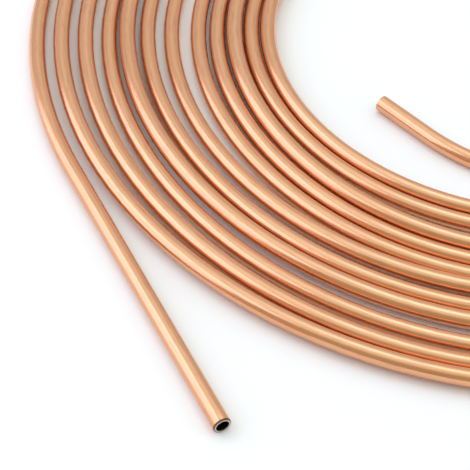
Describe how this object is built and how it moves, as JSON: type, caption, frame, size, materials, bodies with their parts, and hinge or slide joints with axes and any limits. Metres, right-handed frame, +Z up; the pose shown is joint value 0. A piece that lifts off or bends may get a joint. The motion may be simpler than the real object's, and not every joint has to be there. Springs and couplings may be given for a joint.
{
  "type": "coil of copper tube",
  "caption": "Loose flat coil of thin soft copper tube, wound in open turns with a straight outer tail and a free inner end, its bore open at both cut ends.",
  "frame": {"origin": "middle of the footprint of the whole coil with its tail, on the floor that it lies on", "axes": "+Z up, square to the flat of the coil; the outer tail points to -Y and slightly to +X, and X runs through the places where each half turn meets the next"},
  "size_m": [0.2726, 0.2878, 0.0077],
  "materials": {
    "copper": "bright drawn copper, satin, silvery where it is cut"
  },
  "bodies": {
    "root": {"copper_tube": "copper"}
  },
  "joints": []
}
